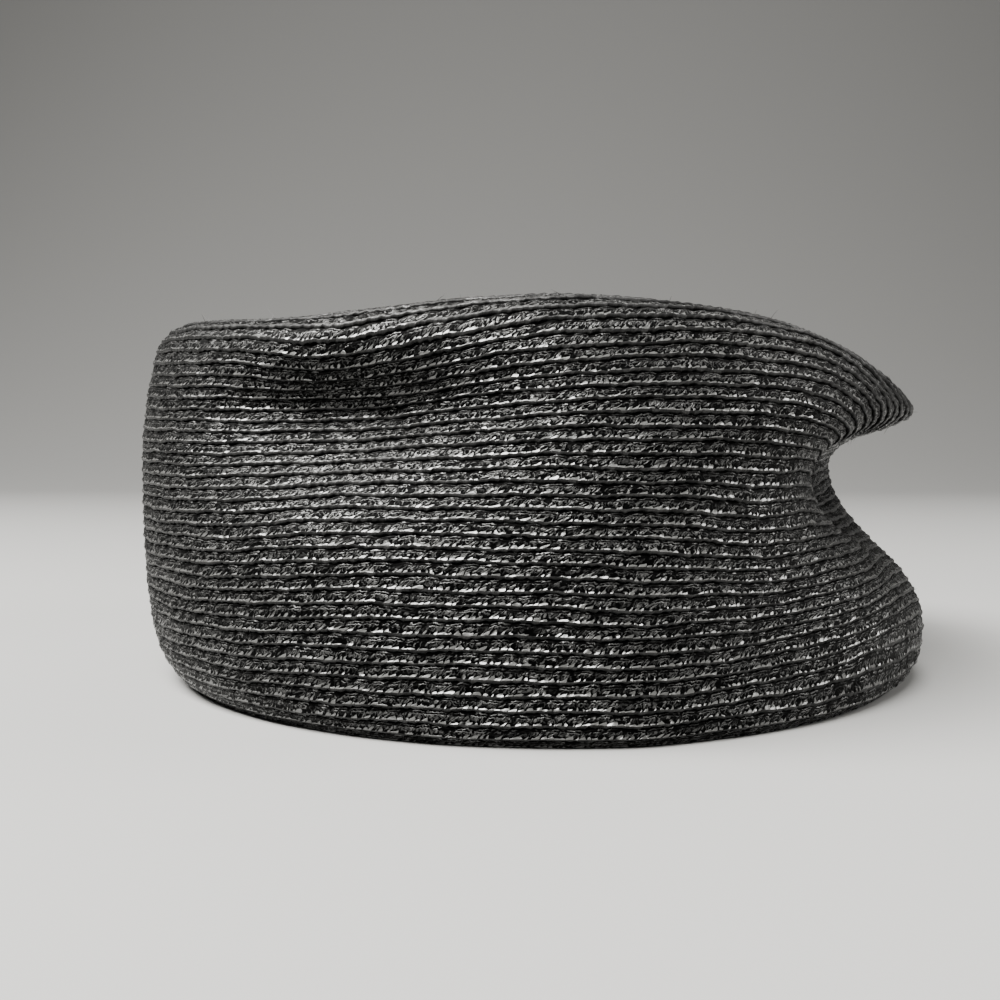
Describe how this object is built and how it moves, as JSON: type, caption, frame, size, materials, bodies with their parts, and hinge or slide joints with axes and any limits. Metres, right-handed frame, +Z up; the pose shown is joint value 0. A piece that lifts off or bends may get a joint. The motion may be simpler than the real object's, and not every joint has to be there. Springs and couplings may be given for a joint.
{
  "type": "pillbox hat",
  "caption": "Soft round pillbox hat of sewn straw braid, hollow and open below, with a buckled side dent and a drooping crown edge.",
  "frame": {"origin": "on the surface that the rim rests on, under the middle of the hat's bounding box", "axes": "+Z up through the crown, -Y towards the front, +X towards the side with the deep dent"},
  "size_m": [0.1908, 0.1898, 0.0855],
  "materials": {
    "straw_braid": "glossy black plaited straw"
  },
  "bodies": {
    "root": {"crown": "straw_braid"}
  },
  "joints": []
}
